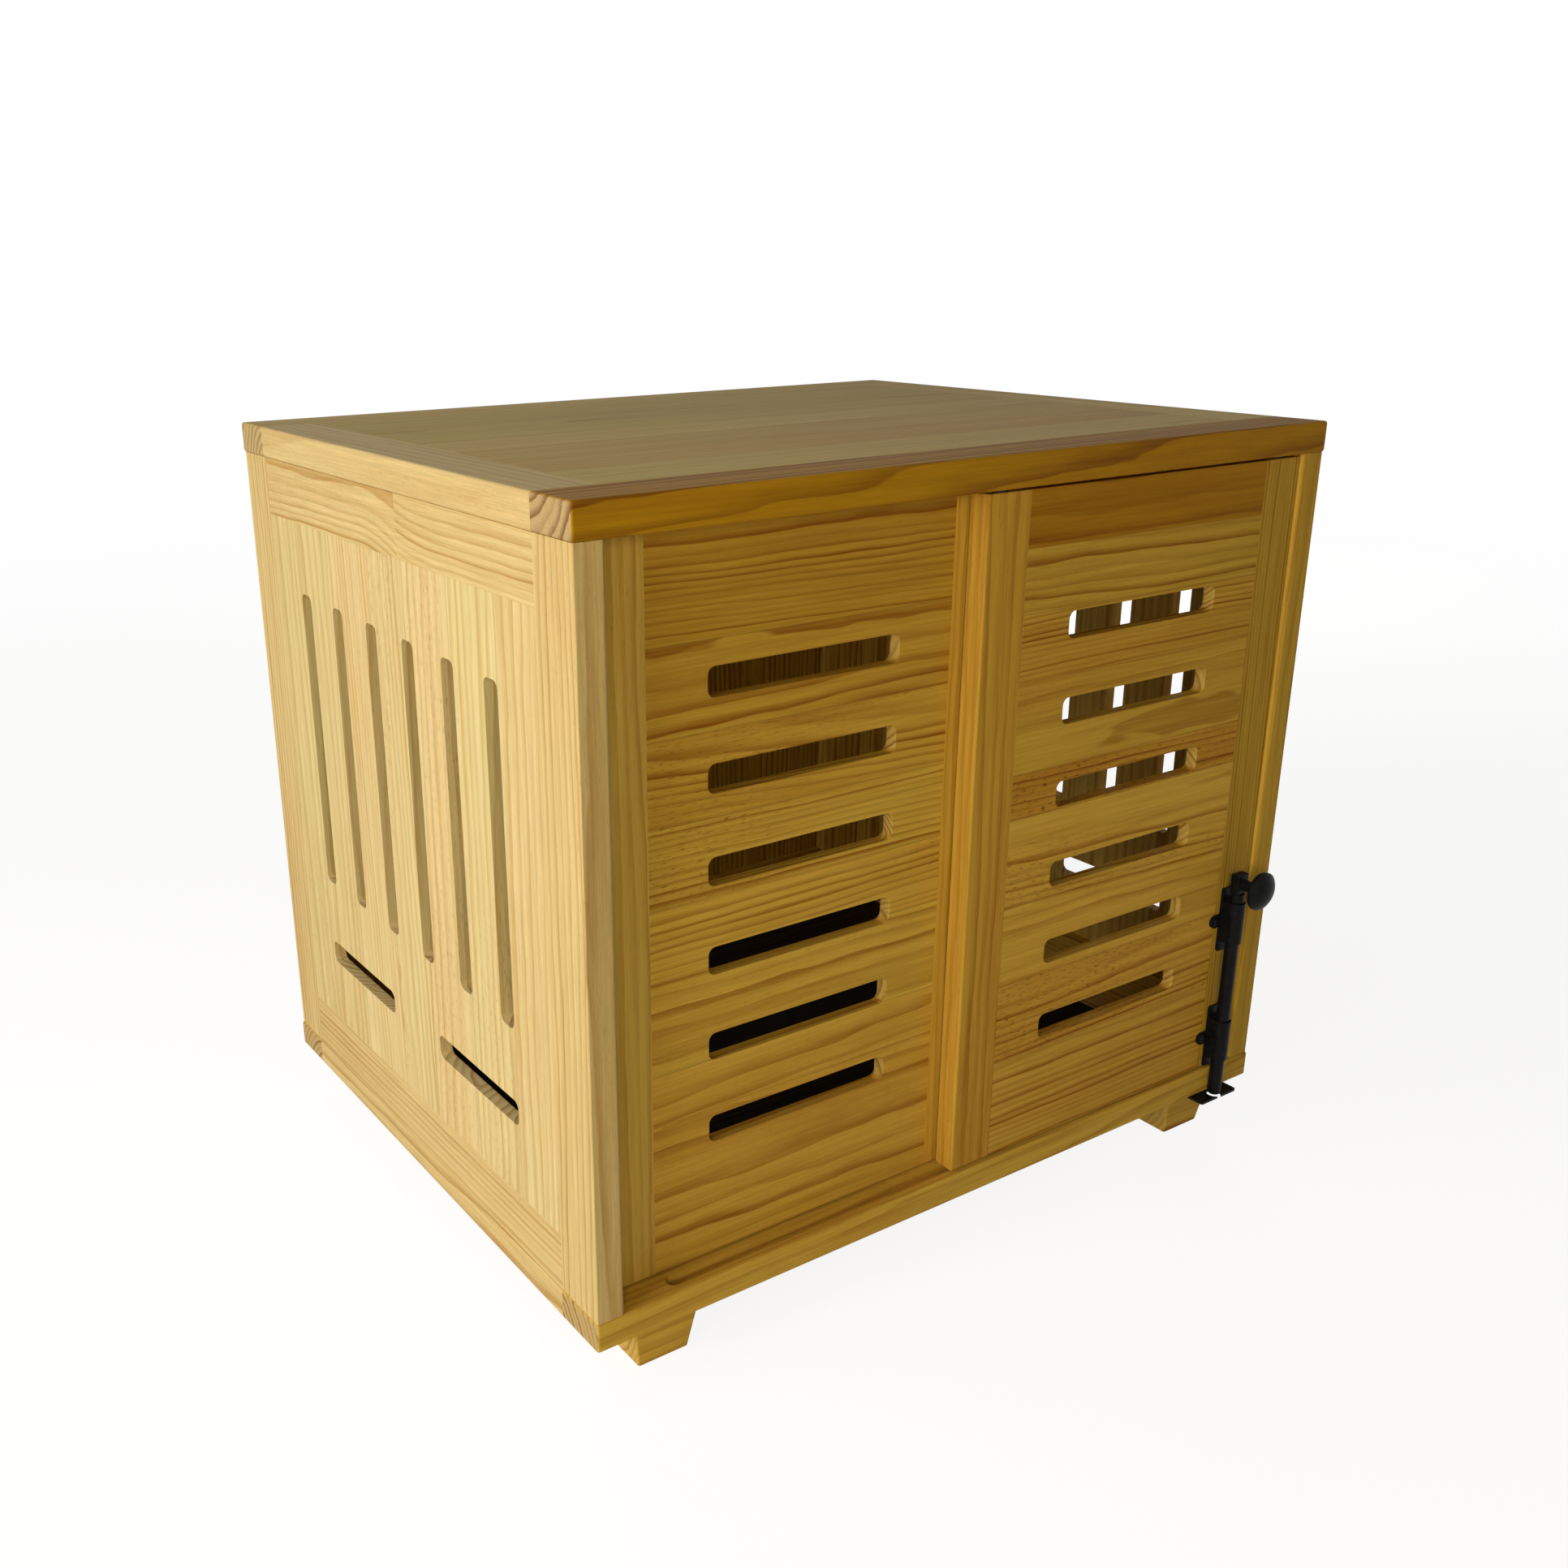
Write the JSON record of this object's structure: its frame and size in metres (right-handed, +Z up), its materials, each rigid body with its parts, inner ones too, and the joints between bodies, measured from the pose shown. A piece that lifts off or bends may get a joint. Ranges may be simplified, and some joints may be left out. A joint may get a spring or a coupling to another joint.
{
  "type": "dog crate end table",
  "caption": "Pine end table that doubles as a dog crate, with slotted sides, sliding slotted doors, tapered feet and a black barrel bolt.",
  "frame": {"origin": "on the floor, under the middle of the outer box seen from above, which includes the bolt knob that stands 31.3 mm in front of the table", "axes": "+Z up, -Y is the front with the doors, +X to the right seen from the front"},
  "size_m": [0.6, 0.5113, 0.542],
  "materials": {
    "pine": "clear satin lacquer over solid knotty pine",
    "beech_dowels": "plain beech, hidden",
    "black_metal": "satin black enamel on steel",
    "black_screws": "black oxide screws",
    "zinc_screws": "bright zinc plate",
    "nylon": "natural white nylon",
    "housing_plastic": "moulded dark grey plastic"
  },
  "bodies": {
    "root": {"back_bottom_rail": "pine", "back_left_foot": "pine", "back_left_stile": "pine", "back_panel": "pine", "back_right_foot": "pine", "back_right_stile": "pine", "back_top_rail": "pine", "base_back_rail": "pine", "base_front_rail": "pine", "base_left_rail": "pine", "base_right_rail": "pine", "carcass_screws": "zinc_screws", "floor_panel": "pine", "foot_screws": "zinc_screws", "frame_dowels": "beech_dowels", "front_left_foot": "pine", "front_right_foot": "pine", "left_side_back_post": "pine", "left_side_bottom_rail": "pine", "left_side_front_post": "pine", "left_side_panel": "pine", "left_side_top_rail": "pine", "panel_dowels": "beech_dowels", "right_side_back_post": "pine", "right_side_bottom_rail": "pine", "right_side_front_post": "pine", "right_side_panel": "pine", "right_side_top_rail": "pine", "strike_plate": "black_metal", "strike_screws": "black_screws", "top_back_rail": "pine", "top_front_rail": "pine", "top_left_stile": "pine", "top_panel": "pine", "top_right_stile": "pine"},
    "front_door": {"front_door_guide_pins": "nylon", "front_door_left_stile": "pine", "front_door_panel": "pine", "front_door_right_stile": "pine", "front_door_roller_housings": "housing_plastic", "front_door_wheel_axles": "zinc_screws", "bolt_upper_guide": "black_metal", "bolt_lower_guide": "black_metal", "bolt_guide_screws": "black_screws"},
    "rear_door": {"rear_door_guide_pins": "nylon", "rear_door_left_stile": "pine", "rear_door_panel": "pine", "rear_door_right_stile": "pine", "rear_door_roller_housings": "housing_plastic", "rear_door_wheel_axles": "zinc_screws"},
    "front_left_wheel": {"front_door_left_wheel": "nylon"},
    "front_right_wheel": {"front_door_right_wheel": "nylon"},
    "rear_left_wheel": {"rear_door_left_wheel": "nylon"},
    "rear_right_wheel": {"rear_door_right_wheel": "nylon"},
    "bolt_rod": {"bolt_rod": "black_metal"},
    "bolt_knob": {"bolt_dog": "black_metal", "bolt_knob": "black_metal"}
  },
  "joints": [
    {"name": "front_door_slide", "type": "slide", "parent": "root", "child": "front_door", "axis": [1, 0, 0], "range_m": [-0.2345, 0]},
    {"name": "rear_door_slide", "type": "slide", "parent": "root", "child": "rear_door", "axis": [1, 0, 0], "range_m": [0, 0.2345]},
    {"name": "bolt_slide", "type": "slide", "parent": "front_door", "child": "bolt_rod", "axis": [0, 0, 1], "range_m": [-0.007, 0.02]},
    {"name": "bolt_turn", "type": "hinge", "parent": "bolt_rod", "child": "bolt_knob", "pos_m": [0.2555, -0.22995, 0.212], "axis": [0, 0, 1], "range_deg": [-60, 60]},
    {"name": "front_left_wheel_roll", "type": "hinge", "parent": "front_door", "child": "front_left_wheel", "pos_m": [0.002, -0.2121, 0.0573], "axis": [0, 1, 0], "range_deg": [-1495, 0]},
    {"name": "front_right_wheel_roll", "type": "hinge", "parent": "front_door", "child": "front_right_wheel", "pos_m": [0.2642, -0.2121, 0.0573], "axis": [0, 1, 0], "range_deg": [-1495, 0]},
    {"name": "rear_left_wheel_roll", "type": "hinge", "parent": "rear_door", "child": "rear_left_wheel", "pos_m": [-0.2642, -0.1941, 0.0573], "axis": [0, 1, 0], "range_deg": [0, 1495]},
    {"name": "rear_right_wheel_roll", "type": "hinge", "parent": "rear_door", "child": "rear_right_wheel", "pos_m": [-0.002, -0.1941, 0.0573], "axis": [0, 1, 0], "range_deg": [0, 1495]}
  ],
  "couplings": [
    {"joint": "front_left_wheel_roll", "follows": "front_door_slide", "rad_per_m": 111.11},
    {"joint": "front_right_wheel_roll", "follows": "front_door_slide", "rad_per_m": 111.11},
    {"joint": "rear_left_wheel_roll", "follows": "rear_door_slide", "rad_per_m": 111.11},
    {"joint": "rear_right_wheel_roll", "follows": "rear_door_slide", "rad_per_m": 111.11}
  ]
}
